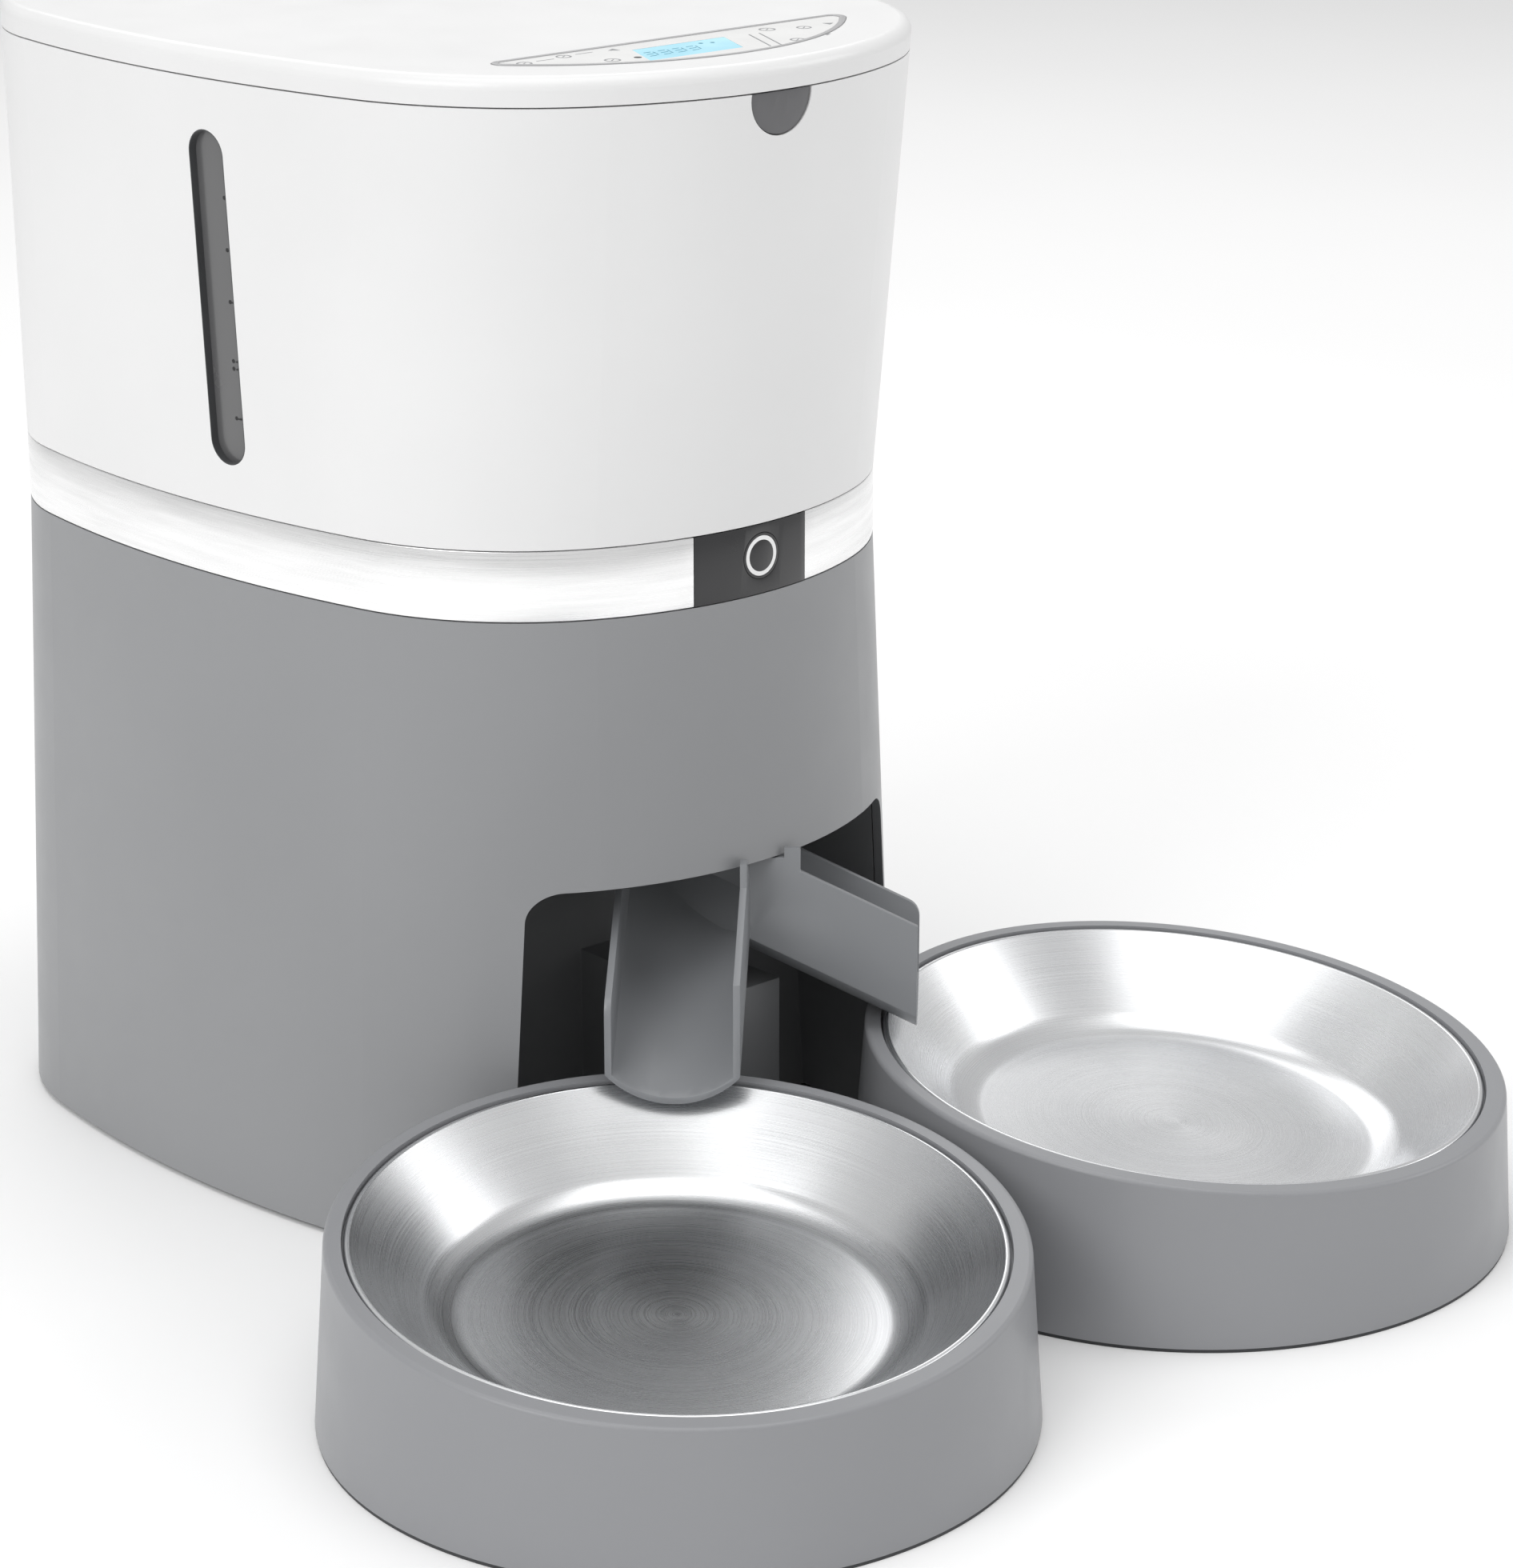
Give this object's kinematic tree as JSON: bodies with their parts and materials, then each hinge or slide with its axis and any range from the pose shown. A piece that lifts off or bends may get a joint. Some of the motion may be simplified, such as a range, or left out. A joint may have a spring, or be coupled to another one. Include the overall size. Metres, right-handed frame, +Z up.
{
  "type": "automatic pet feeder",
  "caption": "Automatic dry-food pet feeder: a hopper with a hinged lid over a powered feed wheel, and a forked chute that fills steel bowls on low stands.",
  "frame": {"origin": "on the floor, at the middle of the overall footprint of feeder, stands and bowls", "axes": "+Z up; the front with the bowls faces -Y; +X is to the right as seen from in front"},
  "size_m": [0.3538, 0.4004, 0.3115],
  "materials": {
    "white_plastic": "satin white moulded plastic",
    "grey_plastic": "satin grey moulded plastic",
    "dark_plastic": "dark grey matte plastic",
    "chute_grey": "smooth mid-grey plastic",
    "aluminium_band": "brushed along the band",
    "panel_black": "smooth dark lens",
    "lens_white": "smooth white lens",
    "bezel_grey": "smooth light grey",
    "latch_grey": "satin dark grey",
    "window_smoke": "smoked translucent plastic",
    "ring_white": "printed white",
    "tank_plastic": "milky plastic",
    "bowl_steel": "satin stainless steel",
    "stand_grey": "satin grey moulded plastic",
    "rubber_grey": "matte rubber",
    "seal_silicone": "soft silicone",
    "display_blue": "back-lit display",
    "gear_plastic": "natural acetal",
    "steel": "bright zinc plated",
    "motor_steel": "plated can",
    "board_green": "solder mask",
    "contact_nickel": "nickel plated",
    "cell_wrap": "printed sleeve with no lettering"
  },
  "bodies": {
    "base": {"base_shell": "grey_plastic", "recess_liner": "dark_plastic", "bottom_plate": "grey_plastic", "battery_cells": "cell_wrap", "battery_contacts": "contact_nickel", "rubber_feet": "rubber_grey", "chassis": "grey_plastic", "trim_band": "aluminium_band", "button_panel": "panel_black", "button_switch": "board_green", "hopper_housing": "white_plastic", "level_window": "window_smoke", "food_tank": "tank_plastic", "hinge_pin": "steel", "feed_drum": "dark_plastic", "discharge_duct": "dark_plastic", "gear_axles": "steel", "motor": "motor_steel", "gear_case": "dark_plastic", "gear_case_cover": "dark_plastic", "main_board": "board_green", "power_inlet": "dark_plastic", "splitter": "chute_grey", "left_bowl_stand": "stand_grey", "right_bowl_stand": "stand_grey", "left_stand_foot": "rubber_grey", "right_stand_foot": "rubber_grey", "bottom_screws": "steel", "chassis_screws": "steel", "hopper_screws": "steel", "board_screws": "steel", "motor_screws": "steel"},
    "lid": {"lid": "white_plastic", "lid_liner": "white_plastic", "lid_seal": "seal_silicone", "panel_bezel": "bezel_grey", "panel_overlay": "lens_white", "display_window": "display_blue", "control_board": "board_green"},
    "latch": {"latch_button": "latch_grey"},
    "feed_button": {"feed_button": "panel_black", "button_ring": "ring_white"},
    "feed_wheel": {"feed_wheel": "gear_plastic", "agitator": "gear_plastic", "output_gear": "gear_plastic"},
    "second_gear": {"second_gear": "gear_plastic"},
    "first_gear": {"first_gear": "gear_plastic"},
    "motor_rotor": {"motor_pinion": "gear_plastic", "motor_shaft": "steel"},
    "battery_door": {"battery_door": "grey_plastic"},
    "left_bowl": {"left_bowl": "bowl_steel"},
    "right_bowl": {"right_bowl": "bowl_steel"}
  },
  "joints": [
    {"name": "lid_hinge", "type": "hinge", "parent": "base", "child": "lid", "pos_m": [0, 0.19525, 0.3042], "axis": [-1, 0, 0], "range_deg": [0, 105]},
    {"name": "latch_press", "type": "slide", "parent": "base", "child": "latch", "axis": [0, 1, 0], "range_m": [0, 0.001], "stiffness_N_per_m": 800, "springref_m": -0.002},
    {"name": "feed_button_press", "type": "slide", "parent": "base", "child": "feed_button", "axis": [0, 1, 0], "range_m": [0, 0.001], "stiffness_N_per_m": 600, "springref_m": -0.002},
    {"name": "feed_wheel_turn", "type": "hinge", "parent": "base", "child": "feed_wheel", "pos_m": [0, 0.07645, 0.157], "axis": [0, 0, 1], "continuous": true},
    {"name": "second_gear_turn", "type": "hinge", "parent": "base", "child": "second_gear", "pos_m": [0.01052, 0.09623, 0.127], "axis": [0, 0, 1], "continuous": true},
    {"name": "first_gear_turn", "type": "hinge", "parent": "base", "child": "first_gear", "pos_m": [0.00075, 0.11459, 0.12], "axis": [0, 0, 1], "continuous": true},
    {"name": "motor_turn", "type": "hinge", "parent": "base", "child": "motor_rotor", "pos_m": [0.01052, 0.13296, 0.119], "axis": [0, 0, 1], "continuous": true},
    {"name": "battery_door_lift", "type": "slide", "parent": "base", "child": "battery_door", "axis": [0, 0, -1], "range_m": [0, 0.02]},
    {"name": "left_bowl_tip", "type": "hinge", "parent": "base", "child": "left_bowl", "pos_m": [-0.05775, -0.03831, 0.05154], "axis": [-0.9219, 0.3875, 0], "range_deg": [0, 11]},
    {"name": "right_bowl_tip", "type": "hinge", "parent": "base", "child": "right_bowl", "pos_m": [0.05775, -0.03831, 0.05154], "axis": [-0.9219, -0.3875, 0], "range_deg": [0, 11]}
  ],
  "couplings": [
    {"joint": "second_gear_turn", "follows": "feed_wheel_turn", "ratio": -3.6667},
    {"joint": "first_gear_turn", "follows": "feed_wheel_turn", "ratio": 12.222},
    {"joint": "motor_turn", "follows": "feed_wheel_turn", "ratio": -40.741}
  ]
}
